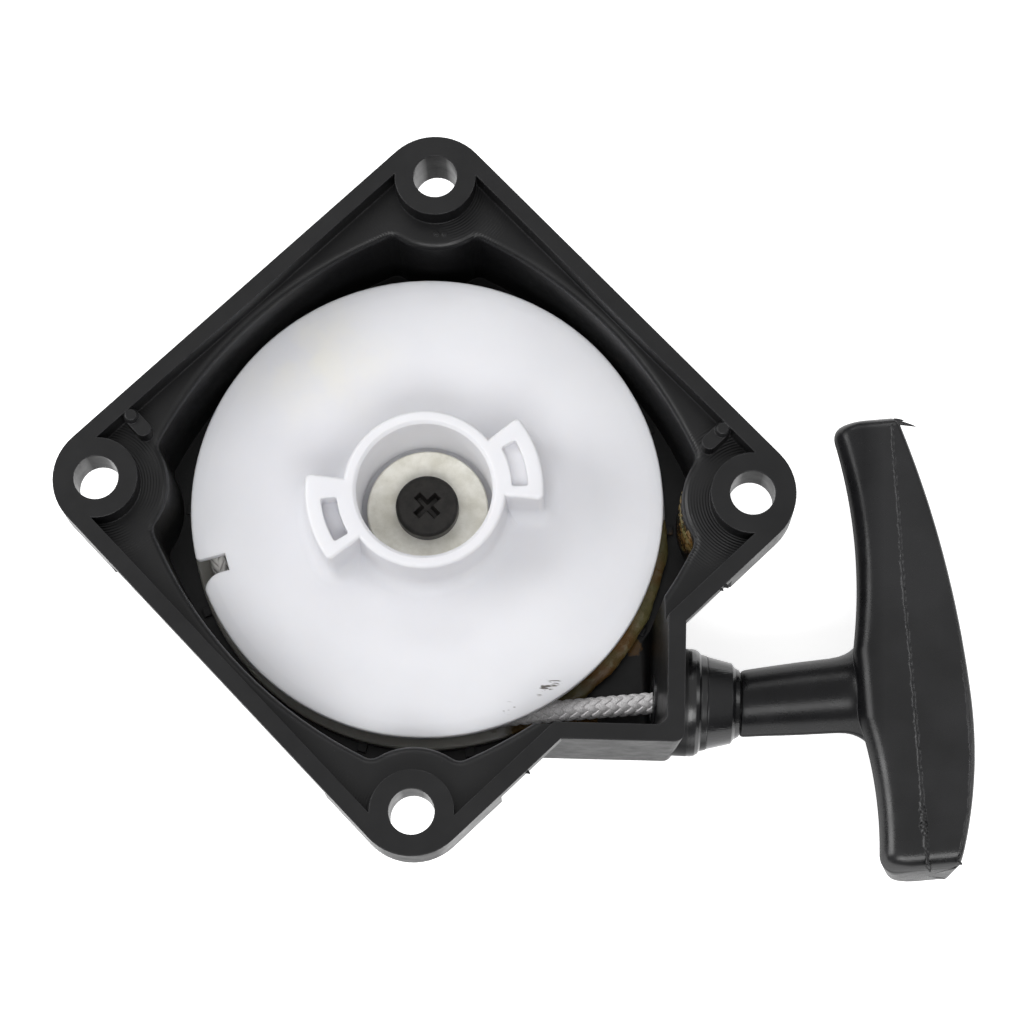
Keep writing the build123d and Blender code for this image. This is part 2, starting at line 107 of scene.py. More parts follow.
def meshFromGrid(name, points, closedAcross=True, capped=True, merge=0.0, smoothAngle=40):
    # points[i, j] runs along with i and across with j, and points[g, i, j] holds several such grids;
    # each cap is a fan to the middle of its ring
    grids = points if points.ndim == 4 else points[None]
    count, rows, columns = grids.shape[:3]
    lastColumn = columns if closedAcross else columns - 1
    i, j = np.meshgrid(np.arange(rows - 1), np.arange(lastColumn), indexing="ij")
    i, j = i.ravel(), j.ravel()
    following = (j + 1) % columns
    quads = np.stack([i * columns + j, (i + 1) * columns + j,
                      (i + 1) * columns + following, i * columns + following], axis=1)
    offsets = np.arange(count) * rows * columns
    faces = (quads[None] + offsets[:, None, None]).reshape(-1, 4).tolist()
    quadMap = np.stack([np.stack(pair, 1) for pair in ((i, j), (i + 1, j), (i + 1, j + 1), (i, j + 1))], axis=1)
    corners = [np.tile(quadMap.reshape(-1, 2), (count, 1)).astype(float)]
    vertices = grids.reshape(-1, 3)
    if capped:
        k = np.arange(columns)
        for row in (0, rows - 1):
            middles = len(vertices) + np.arange(count)
            vertices = np.vstack([vertices, grids[:, row].mean(axis=1)])
            fan = np.stack([row * columns + k, row * columns + (k + 1) % columns], axis=1)
            fans = np.concatenate([fan[None] + offsets[:, None, None],
                                   np.repeat(middles[:, None, None], columns, axis=1)], axis=2)
            faces += fans.reshape(-1, 3).tolist()
            capMap = np.stack([np.full(3 * columns, row), np.repeat(k, 3)], axis=1)
            corners.append(np.tile(capMap, (count, 1)).astype(float))
    mesh = bpy.data.meshes.new(name)
    mesh.from_pydata(vertices.tolist(), [], faces)
    layer = mesh.uv_layers.new(name="along")
    step = np.linalg.norm(np.diff(grids[0], axis=0), axis=2).mean() / mm
    flat = np.vstack(corners) * (step, 1 / columns)      # the map holds millimetres along and a share across
    layer.data.foreach_set("uv", flat.ravel())
    mesh.polygons.foreach_set("use_smooth", np.ones(len(mesh.polygons), bool))
    mesh.update()
    work = bmesh.new()
    work.from_mesh(mesh)
    if merge > 0:
        bmesh.ops.remove_doubles(work, verts=work.verts, dist=merge)
    bmesh.ops.recalc_face_normals(work, faces=work.faces)
    work.to_mesh(mesh)
    work.free()
    mesh.set_sharp_from_angle(angle=radians(smoothAngle))
    piece = bpy.data.objects.new(name, mesh)
    bpy.context.scene.collection.objects.link(piece)
    return piece


def joinPieces(name, parts):
    # puts several pieces' meshes into one, keeping their map
    work = bmesh.new()
    for part in parts:
        work.from_mesh(part.data)
    mesh = bpy.data.meshes.new(name)
    work.to_mesh(mesh)
    work.free()
    for part in parts:
        bpy.data.objects.remove(part)
    piece = bpy.data.objects.new(name, mesh)
    bpy.context.scene.collection.objects.link(piece)
    return piece


def framesAlong(path):
    # path[i] are points; returns two unit vectors square to the path at each point,
    # the first of them as level as it can be
    tangent = np.gradient(path, axis=0)
    tangent /= np.linalg.norm(tangent, axis=1, keepdims=True)
    side = np.cross(np.array([0.0, 0.0, 1.0]), tangent)
    side /= np.linalg.norm(side, axis=1, keepdims=True)
    return side, np.cross(tangent, side)


# node helpers: each adds one or a few nodes and returns the socket they end in
def startMaterial(name):
    material = bpy.data.materials.new(name)
    material.use_nodes = True
    tree = material.node_tree
    return material, tree, tree.nodes["Principled BSDF"]


def objectPlace(tree):
    return tree.nodes.new("ShaderNodeTexCoord").outputs["Object"]


def objectNormal(tree):
    return tree.nodes.new("ShaderNodeTexCoord").outputs["Normal"]


def mapPlace(tree):
    # the piece's own map, which meshFromGrid lays
    chart = tree.nodes.new("ShaderNodeUVMap")
    chart.uv_map = "along"
    return chart.outputs["UV"]


def parted(tree, vector):
    node = tree.nodes.new("ShaderNodeSeparateXYZ")
    tree.links.new(vector, node.inputs["Vector"])
    return node.outputs["X"], node.outputs["Y"], node.outputs["Z"]


def mapped(tree, vector, scale=(1, 1, 1), rotation=(0, 0, 0), location=(0, 0, 0)):
    node = tree.nodes.new("ShaderNodeMapping")
    node.inputs["Scale"].default_value = scale
    node.inputs["Rotation"].default_value = rotation
    node.inputs["Location"].default_value = location
    tree.links.new(vector, node.inputs["Vector"])
    return node.outputs["Vector"]


def noise(tree, vector, scale, detail=3.0, roughness=0.5):
    node = tree.nodes.new("ShaderNodeTexNoise")
    node.inputs["Scale"].default_value = scale
    node.inputs["Detail"].default_value = detail
    node.inputs["Roughness"].default_value = roughness
    tree.links.new(vector, node.inputs["Vector"])
    return node.outputs["Fac"]


def ranged(tree, value, low, high, outLow=0.0, outHigh=1.0):
    node = tree.nodes.new("ShaderNodeMapRange")
    node.inputs["From Min"].default_value = low
    node.inputs["From Max"].default_value = high
    node.inputs["To Min"].default_value = outLow
    node.inputs["To Max"].default_value = outHigh
    tree.links.new(value, node.inputs["Value"])
    return node.outputs["Result"]


def maths(tree, operation, *values):
    node = tree.nodes.new("ShaderNodeMath")
    node.operation = operation
    for socket, value in zip(node.inputs, values):
        if isinstance(value, (int, float)):
            socket.default_value = value
        else:
            tree.links.new(value, socket)
    return node.outputs["Value"]


def times(tree, *shares):
    product = shares[0]
    for share in shares[1:]:
        product = maths(tree, "MULTIPLY", product, share)
    return product


def mixed(tree, share, first, second):
    node = tree.nodes.new("ShaderNodeMix")
    node.data_type = "RGBA"
    tree.links.new(share, node.inputs["Factor"])
    for socket, value in ((node.inputs[6], first), (node.inputs[7], second)):
        if isinstance(value, tuple):
            socket.default_value = (*value, 1.0)
        else:
            tree.links.new(value, socket)
    return node.outputs[2]


def dotted(tree, vector, direction):
    # the dot product of a vector with another, or with three numbers
    node = tree.nodes.new("ShaderNodeVectorMath")
    node.operation = "DOT_PRODUCT"
    tree.links.new(vector, node.inputs[0])
    if isinstance(direction, tuple):
        node.inputs[1].default_value = direction
    else:
        tree.links.new(direction, node.inputs[1])
    return node.outputs["Value"]


def bumped(tree, heights, normal=None):
    # heights is a list of (height, strength, distance in metres)
    for height, strength, distance in heights:
        node = tree.nodes.new("ShaderNodeBump")
        node.inputs["Strength"].default_value = strength
        node.inputs["Distance"].default_value = distance
        tree.links.new(height, node.inputs["Height"])
        if normal is not None:
            tree.links.new(normal, node.inputs["Normal"])
        normal = node.outputs["Normal"]
    return normal


def softEdges(tree, radius):
    node = tree.nodes.new("ShaderNodeBevel")
    node.samples = 4
    node.inputs["Radius"].default_value = radius
    return node.outputs["Normal"]


def near(tree, place, centre, reach):
    # 1 at a point in the shared frame, falling to 0 at a reach from it, both in mm
    node = tree.nodes.new("ShaderNodeVectorMath")
    node.operation = "DISTANCE"
    tree.links.new(place, node.inputs[0])
    node.inputs[1].default_value = tuple(value * mm for value in centre)
    return ranged(tree, node.outputs["Value"], 0.0, reach * mm, 1.0, 0.0)


def nearest(tree, place, spots):
    # the largest share of several spots, each a middle and a reach
    shares = [near(tree, place, centre, reach) for centre, reach in spots]
    largest = shares[0]
    for share in shares[1:]:
        largest = maths(tree, "MAXIMUM", largest, share)
    return largest


def lengthOf(tree, first, second):
    # square root of the sum of two squares
    squares = [maths(tree, "MULTIPLY", value, value) for value in (first, second)]
    return maths(tree, "SQRT", maths(tree, "ADD", *squares))


def edgeShare(tree, radius):
    # grows where the surface turns within a radius: one minus the dot of the rounded and the true normal
    trueNormal = tree.nodes.new("ShaderNodeNewGeometry").outputs["Normal"]
    dot = dotted(tree, softEdges(tree, radius), trueNormal)
    return ranged(tree, maths(tree, "SUBTRACT", 1.0, dot), 0.03, 0.2)


def collarShare(tree, place, settings):
    # 1 past a distance along X and beyond a line along Y, where the collar is
    x, y, _ = parted(tree, place)
    start = settings["polishBeyond"]
    return maths(tree, "MULTIPLY", ranged(tree, x, start * mm, (start + 0.3) * mm), ranged(tree, y, -0.020, -0.0205))


def mouldedSheen(tree, place, settings):
    # how shiny the plastic is, less so on the sides that the mould left matte
    shine = settings["shine"]
    if "polishBeyond" in settings:
        collar = collarShare(tree, place, settings)
        shine = ranged(tree, collar, 0, 1, shine, settings["polishedShine"])
    if "matteTowards" in settings:
        facing = dotted(tree, objectNormal(tree), settings["matteTowards"])
        matte = ranged(tree, facing, 0.72, 0.9)
        glossy = maths(tree, "SUBTRACT", 1.0, maths(tree, "MULTIPLY", matte, settings["matteShare"]))
        shine = maths(tree, "MULTIPLY", glossy, shine)
    if "sidesMatte" in settings:
        steep = ranged(tree, maths(tree, "ABSOLUTE", parted(tree, objectNormal(tree))[2]), 0.15, 0.55, 1.0, 0.0)
        stemLow, stemHigh = ((settings["stemTo"] + shift) * mm for shift in (-1.5, 1.5))
        stemGloss = ranged(tree, parted(tree, place)[0], stemLow, stemHigh, settings["stemGloss"], 1.0)
        sideGloss = maths(tree, "SUBTRACT", 1.0, maths(tree, "MULTIPLY", steep, settings["sidesMatte"]))
        shine = times(tree, stemGloss, sideGloss, shine)
    return shine


def cutterRings(tree, place, settings):
    # waves of the distance from the nearest of the four holes, in patches and on the rim's step only
    x, y, z = parted(tree, place)
    sides = [maths(tree, "ABSOLUTE", axis) for axis in (x, y)]
    gap = maths(tree, "SUBTRACT", maths(tree, "MAXIMUM", *sides), settings["ringHoles"] * mm)
    distance = lengthOf(tree, gap, maths(tree, "MINIMUM", *sides))
    wave = maths(tree, "SINE", maths(tree, "MULTIPLY", distance, 2 * pi / (settings["ringPitch"] * mm)))
    reach = settings["ringReach"]
    share = times(tree, ranged(tree, noise(tree, place, 70, 2), 0.42, 0.6),
                  ranged(tree, distance, reach * mm, (reach + 3) * mm, 1.0, 0.0),
                  ranged(tree, z, -0.0055, -0.0045), ranged(tree, z, -0.0035, -0.002, 1.0, 0.0))
    return maths(tree, "MULTIPLY", wave, share)


blackPlastic = {
    "dark": (0.0045, 0.0045, 0.005),
    "light": (0.008, 0.008, 0.0085),
    "dust": (0.04, 0.038, 0.036),
    "roughness": (0.33, 0.42),
    # colour of the lightened edges: partly wear, partly a painted highlight
    "edgeWearAndHighlight": (0.055, 0.055, 0.058),
    "edge": 0.00028,
    "shine": 0.42,
    "grain": 2600,
    "streak": (1, 1, 1),
    "streakDepth": 0.12,
}
housingLook = {
    **blackPlastic,
    "shine": 0.36,
    "matteTowards": (0.0, -1.0, 0.0),
    "matteShare": 0.88,
    "polishBeyond": 39.3,       # mm along X to the glossy collar
    "polishedShine": 0.62,
    "polishedSmoother": 0.17,
    "ringHoles": 48.08,         # mm from the axis to each hole
    "ringPitch": 0.42,
    "ringReach": 11.5,
    # middle and reach of each patch of old grease in the well, in mm
    "greasePatches": (((37.5, -5.0, -11.0), 7.5), ((38.0, -2.0, -17.0), 6.0),
                      ((31.5, -19.0, -20.5), 2.5), ((24.0, -29.5, -20.5), 5.0)),
    "grease": (0.06, 0.052, 0.02),
    "greaseBrown": (0.12, 0.06, 0.012),
}
gripLook = {
    **blackPlastic,
    "roughness": (0.25, 0.32),
    "shine": 0.46,
    "light": (0.011, 0.011, 0.012),
    "sidesMatte": 0.97,
    "stemTo": 66.5,             # mm along X to where the stem meets the grip
    "stemGloss": 0.5,
    "grain": 3200,
    "streakDepth": 0.2,
}
guideLook = {
    **blackPlastic,
    "roughness": (0.1, 0.17),
    "shine": 0.45,
    "light": (0.009, 0.009, 0.01),
    "grain": 1500,
    "streak": (0.12, 1, 1),
    "streakDepth": 0.5,
}


def makeBlackPlastic(name, settings):
    material, tree, shader = startMaterial(name)
    place = objectPlace(tree)
    cloud = noise(tree, place, 90, 4)
    tone = mixed(tree, ranged(tree, cloud, 0.35, 0.65), settings["dark"], settings["light"])
    specks = ranged(tree, noise(tree, place, 5200, 1), 0.74, 0.78)
    dusty = maths(tree, "MULTIPLY", specks, ranged(tree, cloud, 0.45, 0.7))
    # edges are lightened, partly real wear and partly a painted highlight along them
    edgePatches = ranged(tree, noise(tree, place, 350, 3), 0.3, 0.65, 0.25, 1.0)
    wornAndLitEdges = maths(tree, "MULTIPLY", edgeShare(tree, settings["edge"]), edgePatches)
    tone = mixed(tree, wornAndLitEdges, mixed(tree, dusty, tone, settings["dust"]), settings["edgeWearAndHighlight"])
    rough = ranged(tree, noise(tree, place, 420, 5, 0.6), 0.3, 0.7, *settings["roughness"])
    if "greasePatches" in settings:
        ragged = noise(tree, mapped(tree, place, (1, 1, 0.5)), 520, 4, 0.65)
        spots = nearest(tree, place, settings["greasePatches"])
        greasy = ranged(tree, maths(tree, "MULTIPLY", spots, ragged), 0.2, 0.27)
        stained = ranged(tree, noise(tree, place, 240, 2), 0.42, 0.58)
        tone = mixed(tree, greasy, tone, mixed(tree, stained, settings["grease"], settings["greaseBrown"]))
        rough = maths(tree, "SUBTRACT", rough, maths(tree, "MULTIPLY", greasy, 0.15))
    if "polishBeyond" in settings:
        smoother = maths(tree, "MULTIPLY", collarShare(tree, place, settings), settings["polishedSmoother"])
        rough = maths(tree, "SUBTRACT", rough, smoother)
    tree.links.new(tone, shader.inputs["Base Color"])
    tree.links.new(rough, shader.inputs["Roughness"])
    shine = mouldedSheen(tree, place, settings)
    if isinstance(shine, float):
        shader.inputs["Specular IOR Level"].default_value = shine
    else:
        tree.links.new(shine, shader.inputs["Specular IOR Level"])
    fine = noise(tree, mapped(tree, place, settings["streak"]), settings["grain"], 2)
    scratch = noise(tree, mapped(tree, place, (1, 12, 1), (0, 0, 0.6)), 700, 2, 0.4)
    reliefs = [(fine, 0.25, 0.00004), (scratch, settings["streakDepth"], 0.00005)]
    if "ringHoles" in settings:
        reliefs.append((cutterRings(tree, place, settings), 0.45, 0.00006))
    tree.links.new(bumped(tree, reliefs, softEdges(tree, settings["edge"])), shader.inputs["Normal"])
    return material


housingFinish = makeBlackPlastic("housingPlastic", housingLook)
gripFinish = makeBlackPlastic("gripPlastic", gripLook)
guideFinish = makeBlackPlastic("guidePlastic", guideLook)

nylon = {
    "clean": (0.725, 0.725, 0.75),
    "shade": (0.685, 0.685, 0.715),
    "stain": (0.80, 0.775, 0.69),
    "stainPlace": ((-17, 22, -11), 14),
    "scuff": (0.12, 0.11, 0.10),
    # painted shade on the lower flange's edge, where the upper flange shades it
    "flangeShade": (0.40, 0.39, 0.33),
    # middle and reach of the dark scuffs, in mm
    "marks": (((18.3, -27.7, -11.0), 1.7), ((19.9, -26.5, -11.0), 1.3), ((13.2, -30.7, -11.0), 1.2)),
    "grease": (0.14, 0.125, 0.05),
    "greaseBrown": (0.16, 0.085, 0.025),
    "glowDepth": (0.0032, 0.003, 0.0028),   # how far light travels inside it, in metres
}


def makeNylon(name, settings):
    material, tree, shader = startMaterial(name)
    place = objectPlace(tree)
    tone = mixed(tree, ranged(tree, noise(tree, place, 45, 4), 0.35, 0.7), settings["clean"], settings["shade"])
    cloudy = ranged(tree, noise(tree, place, 160, 4), 0.4, 0.65, 0.0, 0.6)
    stain = maths(tree, "MULTIPLY", near(tree, place, *settings["stainPlace"]), cloudy)
    tone = mixed(tree, stain, tone, settings["stain"])
    streaks = ranged(tree, noise(tree, mapped(tree, place, (0.8, 4, 1), (0, 0, -0.5)), 520, 2, 0.5), 0.58, 0.63)
    marked = ranged(tree, nearest(tree, place, settings["marks"]), 0.1, 0.5)
    tone = mixed(tree, maths(tree, "MULTIPLY", streaks, marked), tone, settings["scuff"])
    # grease creeps over the lower flange's edge on the rope's side, ragged at its ends
    x, y, height = parted(tree, place)
    angle = maths(tree, "ARCTAN2", y, x)
    lowEdge = maths(tree, "MULTIPLY", ranged(tree, height, -0.0165, -0.0175),
                    ranged(tree, lengthOf(tree, x, y), 0.0262, 0.0275))
    ragged = ranged(tree, noise(tree, place, 260, 4, 0.6), 0.3, 0.7, -0.25, 0.25)
    span = maths(tree, "MULTIPLY", ranged(tree, angle, -1.35, -1.05), ranged(tree, angle, 0.0, -0.15))
    greasy = maths(tree, "MULTIPLY", lowEdge, ranged(tree, maths(tree, "ADD", ragged, span), 0.4, 0.7))
    # painted shade: the lower flange's edge darkens towards the left and the bottom, under the upper flange
    shadowed = times(tree, lowEdge, ranged(tree, angle, -0.9, -1.3), 0.75)
    tone = mixed(tree, shadowed, tone, settings["flangeShade"])
    stained = ranged(tree, noise(tree, place, 130, 2), 0.45, 0.6)
    greaseTone = mixed(tree, stained, settings["grease"], settings["greaseBrown"])
    tree.links.new(mixed(tree, greasy, tone, greaseTone), shader.inputs["Base Color"])
    satin = ranged(tree, noise(tree, place, 300, 4), 0.3, 0.7, 0.38, 0.5)
    tree.links.new(maths(tree, "SUBTRACT", satin, maths(tree, "MULTIPLY", greasy, 0.22)), shader.inputs["Roughness"])
    shader.inputs["Specular IOR Level"].default_value = 0.25
    shader.inputs["Subsurface Weight"].default_value = 0.6
    shader.inputs["Subsurface Radius"].default_value = settings["glowDepth"]
    shader.inputs["Subsurface Scale"].default_value = 1.0
    lumps = maths(tree, "MULTIPLY", noise(tree, place, 700, 3, 0.6), greasy)
    reliefs = [(noise(tree, place, 1500, 2), 0.06, 0.00003), (lumps, 0.8, 0.0006)]
    tree.links.new(bumped(tree, reliefs, softEdges(tree, 0.00035)), shader.inputs["Normal"])
    return material


reelFinish = makeNylon("reelNylon", nylon)

metals = {
    "zincPlate": {"bright": (0.97, 0.955, 0.87), "dull": (0.74, 0.72, 0.62),
                  "roughness": (0.42, 0.62), "metallic": 0.1, "scale": 1.0},
    "blackOxide": {"bright": (0.028, 0.026, 0.024), "dull": (0.015, 0.014, 0.013),
                   "roughness": (0.3, 0.45), "metallic": 0.5, "scale": 2.0},
    "insertBrass": {"bright": (0.78, 0.58, 0.25), "dull": (0.55, 0.40, 0.17),
                    "roughness": (0.25, 0.4), "metallic": 1.0, "scale": 1.0},
    "blueSpringStrip": {"bright": (0.16, 0.17, 0.22), "dull": (0.10, 0.10, 0.12),
                        "roughness": (0.25, 0.4), "metallic": 1.0, "scale": 1.0},
}


def makeMetal(name, settings):
    material, tree, shader = startMaterial(name)
    place = objectPlace(tree)
    cloud = noise(tree, place, 260 * settings["scale"], 5, 0.65)
    brushed = noise(tree, mapped(tree, place, (1, 9, 1)), 900 * settings["scale"], 3)
    tone = mixed(tree, ranged(tree, cloud, 0.35, 0.65), settings["bright"], settings["dull"])
    tree.links.new(tone, shader.inputs["Base Color"])
    tree.links.new(ranged(tree, cloud, 0.3, 0.7, *settings["roughness"]), shader.inputs["Roughness"])
    shader.inputs["Metallic"].default_value = settings["metallic"]
    normal = bumped(tree, [(brushed, 0.15, 0.00004), (cloud, 0.15, 0.00006)], softEdges(tree, 0.00015))
    tree.links.new(normal, shader.inputs["Normal"])
    return material


zincFinish, screwFinish, brassFinish, springFinish = (makeMetal(name, look) for name, look in metals.items())

cordLook = {
    "pale": (0.80, 0.785, 0.79),
    "darkYarnAndGrooveShade": (0.50, 0.485, 0.49),
    "sheen": 0.4,
}
woundLook = {**cordLook, "pale": (0.5, 0.49, 0.47), "darkYarnAndGrooveShade": (0.25, 0.24, 0.23)}


def makeCordFibre(name, settings, fromMap):
    # fine yarns, which follow the strand where the piece has a map
    material, tree, shader = startMaterial(name)
    if fromMap:
        yarn = noise(tree, mapped(tree, mapPlace(tree), (0.6, 1, 1)), 9, 2)
    else:
        yarn = noise(tree, objectPlace(tree), 4200, 2)
    cloud = ranged(tree, noise(tree, objectPlace(tree), 700, 3), 0.3, 0.7, 0.6, 1.0)
    share = maths(tree, "MULTIPLY", ranged(tree, yarn, 0.35, 0.65), cloud)
    tree.links.new(mixed(tree, share, settings["pale"], settings["darkYarnAndGrooveShade"]), shader.inputs["Base Color"])
    tree.links.new(ranged(tree, yarn, 0.3, 0.7, 0.36, 0.55), shader.inputs["Roughness"])
    shader.inputs["Sheen Weight"].default_value = settings["sheen"]
    tree.links.new(bumped(tree, [(yarn, 0.5, 0.00005)]), shader.inputs["Normal"])
    return material


cordFinish = makeCordFibre("cordFibre", cordLook, fromMap=False)
strandFinish = makeCordFibre("strandFibre", cordLook, fromMap=True)


def makeBraid(name, settings, pitch, axis=None):
    # Two sets of eight strands wind opposite ways, and each is on top in four of eight columns around the rope.
    # Each strand's height is one minus the square of the distance from its middle.
    # axis is the Y and Z of a straight rope in mm; without it the piece's own map is followed.
    material, tree, shader = startMaterial(name)
    if axis is None:
        alongRope, turnShare, _ = parted(tree, mapPlace(tree))
    else:
        inMillimetres = mapped(tree, objectPlace(tree), (1000, 1000, 1000), (0, 0, 0), (0, -axis[0], -axis[1]))
        alongRope, across, upward = parted(tree, inMillimetres)
        turnShare = maths(tree, "DIVIDE", maths(tree, "ARCTAN2", upward, across), 2 * pi)
    windings = maths(tree, "MULTIPLY", alongRope, 8 / pitch)
    around = maths(tree, "MULTIPLY", turnShare, 8.0)
    ridges = []
    for operation in ("ADD", "SUBTRACT"):
        share = maths(tree, "FRACT", maths(tree, operation, around, windings))
        fromMiddle = maths(tree, "ABSOLUTE", maths(tree, "MULTIPLY_ADD", share, 2.0, -1.0))
        ridges.append(maths(tree, "SUBTRACT", 1.0, maths(tree, "POWER", fromMiddle, 2.0)))
    column = maths(tree, "SINE", maths(tree, "ADD", maths(tree, "MULTIPLY", turnShare, 8 * pi), pi / 4))
    pick = tree.nodes.new("ShaderNodeMix")
    tree.links.new(ranged(tree, column, -0.25, 0.25), pick.inputs["Factor"])
    tree.links.new(ridges[0], pick.inputs[2])
    tree.links.new(ridges[1], pick.inputs[3])
    height = pick.outputs[0]
    yarn = noise(tree, objectPlace(tree), 4200, 2)
    # painted shade: the grooves between strands are darker than the strand tops
    tone = mixed(tree, ranged(tree, height, 0.05, 0.6), settings["darkYarnAndGrooveShade"], settings["pale"])
    tree.links.new(tone, shader.inputs["Base Color"])
    tree.links.new(ranged(tree, yarn, 0.3, 0.7, 0.38, 0.55), shader.inputs["Roughness"])
    tree.links.new(bumped(tree, [(height, 0.9, 0.0002), (yarn, 0.4, 0.00005)]), shader.inputs["Normal"])
    return material


print("materials made")

finishes = {
    "housing": housingFinish, "rope_guide": guideFinish, "reel": reelFinish, "retaining_washer": zincFinish,
    "reel_screw": screwFinish, "post_sleeve": zincFinish, "screw_insert": brassFinish,
    "spring_case": zincFinish, "spring_cover": zincFinish, "recoil_spring": springFinish,
    "handle_ferrule": zincFinish, "handle_grip": gripFinish, "handle_cover": gripFinish,
    "rope_run": cordFinish, "rope_winding": cordFinish, "rope_tail": cordFinish,
    "reel_knot": cordFinish, "handle_knot": cordFinish,
}
for name, finish in finishes.items():
    nodes[name].data.materials.clear()
    nodes[name].data.materials.append(finish)

# the starter rope from the reel to the guide, in mm
rope = {
    "pitch": 13.0,              # along the rope for one turn of a strand
    "strandsEachWay": 8,
    "meanRadius": 1.2,
    "weave": 0.2,               # how far a strand rises and dips
    "halfWidth": 0.52,
    "halfThickness": 0.24,
    "start": (3.84, -32.19, -14.3),
    "corner": (36.2, -28.38, -15.38),
    "end": (47.35, -28.35, -15.4),
    "stop": 36.0,               # where along X the braided run ends inside the guide
    "drawnSpan": (35.0, 48.0),
    "drawnRadius": 1.4,
}


def ropePath(x):
    # straight from start to corner, straight on to end, with a rounded corner
    start, corner, end = (np.array(rope[key]) for key in ("start", "corner", "end"))
    share = (x - start[0]) / (corner[0] - start[0])
    first = start + share[:, None] * (corner - start)
    share = (x - corner[0]) / (end[0] - corner[0])
    second = corner + share[:, None] * (end - corner)
    turnShare = np.clip((x - corner[0] + 1.5) / 3.0, 0, 1)[:, None]
    return first + (second - first) * turnShare ** 2 * (3 - 2 * turnShare)


def braidedRope(name, path, settings):
    # Strand centre: at angle a around the rope its distance from the axis is the mean radius plus or minus
    # weave times sin(4a + a quarter of pi), so each set is on top where the other dips. Its section is an ellipse.
    side, lift = framesAlong(path)
    along = np.concatenate([[0], np.cumsum(np.linalg.norm(np.diff(path, axis=0), axis=1))])
    way = np.repeat([1.0, -1.0], settings["strandsEachWay"])[:, None]
    phase = np.tile(np.arange(settings["strandsEachWay"]) / settings["strandsEachWay"], 2)[:, None]
    angle = 2 * pi * (way * along / settings["pitch"] + phase)
    distance = settings["meanRadius"] + way * settings["weave"] * np.sin(4 * angle + pi / 4)
    outward = np.cos(angle)[..., None] * side + np.sin(angle)[..., None] * lift
    centre = path + distance[..., None] * outward
    heading = np.gradient(centre, axis=1)
    heading /= np.linalg.norm(heading, axis=2, keepdims=True)
    widthway = np.cross(outward, heading)
    ring = np.arange(10) * 2 * pi / 10
    fullness = settings["halfThickness"] * np.sign(np.sin(ring)) * np.abs(np.sin(ring)) ** 0.8
    points = (centre[:, :, None]
              + fullness[None, None, :, None] * outward[:, :, None]
              + (settings["halfWidth"] * np.cos(ring))[None, None, :, None] * widthway[:, :, None])
    return meshFromGrid(name, points * mm)


def tubeAlong(name, path, radius, around=14, merge=0.0, capped=True):
    # circles square to the path, of one radius or of one for each point
    side, lift = framesAlong(path)
    ring = np.arange(around) * 2 * pi / around
    radius = np.broadcast_to(np.asarray(radius, float).reshape(-1, 1), (len(path), around))[..., None]
    outward = np.cos(ring)[None, :, None] * side[:, None] + np.sin(ring)[None, :, None] * lift[:, None]
    return meshFromGrid(name, (path[:, None] + radius * outward) * mm, merge=merge, capped=capped)


runPath = ropePath(np.linspace(rope["start"][0], rope["stop"], 110))
braidedRun = joinPieces("braidedRun", [
    braidedRope("runStrands", runPath, rope),
    tubeAlong("runCore", runPath, rope["meanRadius"] - 0.15),
])
braidedRun.data.materials.append(strandFinish)
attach(braidedRun, "housing")
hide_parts("rope_run")

axisY, axisZ = rope["end"][1:]
drawnX = np.linspace(*rope["drawnSpan"], 400)
drawnPath = np.stack([drawnX, np.full(400, axisY), np.full(400, axisZ)], axis=1)
drawnRope = tubeAlong("drawnRope", drawnPath, rope["drawnRadius"])
drawnRope.data.materials.append(makeBraid("drawnBraid", cordLook, rope["pitch"], (axisY, axisZ)))
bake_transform(drawnRope)
print("rope run braided")

# the rope wound on the reel
wound = {
    # radius of the turn, its height, first angle and how far round it goes, in mm and degrees
    "turns": ((26.55, -16.5, 0, 360), (28.4, -14.3, 120, 360), (30.25, -16.5, 240, 360), (32.2, -14.3, -83.5, -250)),
    "radius": 1.48,
}


def turnPath(radius, height, first, span):
    # a circle about the reel's axis, or part of one
    angle = np.radians(first + np.linspace(0, span, 241))
    return np.stack([radius * np.cos(angle), radius * np.sin(angle), np.full_like(angle, height)], axis=1)


woundRope = joinPieces("woundRope", [
    tubeAlong("turn%d" % index, turnPath(*turn), wound["radius"], 12, 1e-6, abs(turn[3]) < 360)
    for index, turn in enumerate(wound["turns"])
])
woundRope.data.materials.append(makeBraid("woundBraid", woundLook, rope["pitch"]))
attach(woundRope, "reel")
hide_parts("rope_winding")
print("rope wound on the reel")

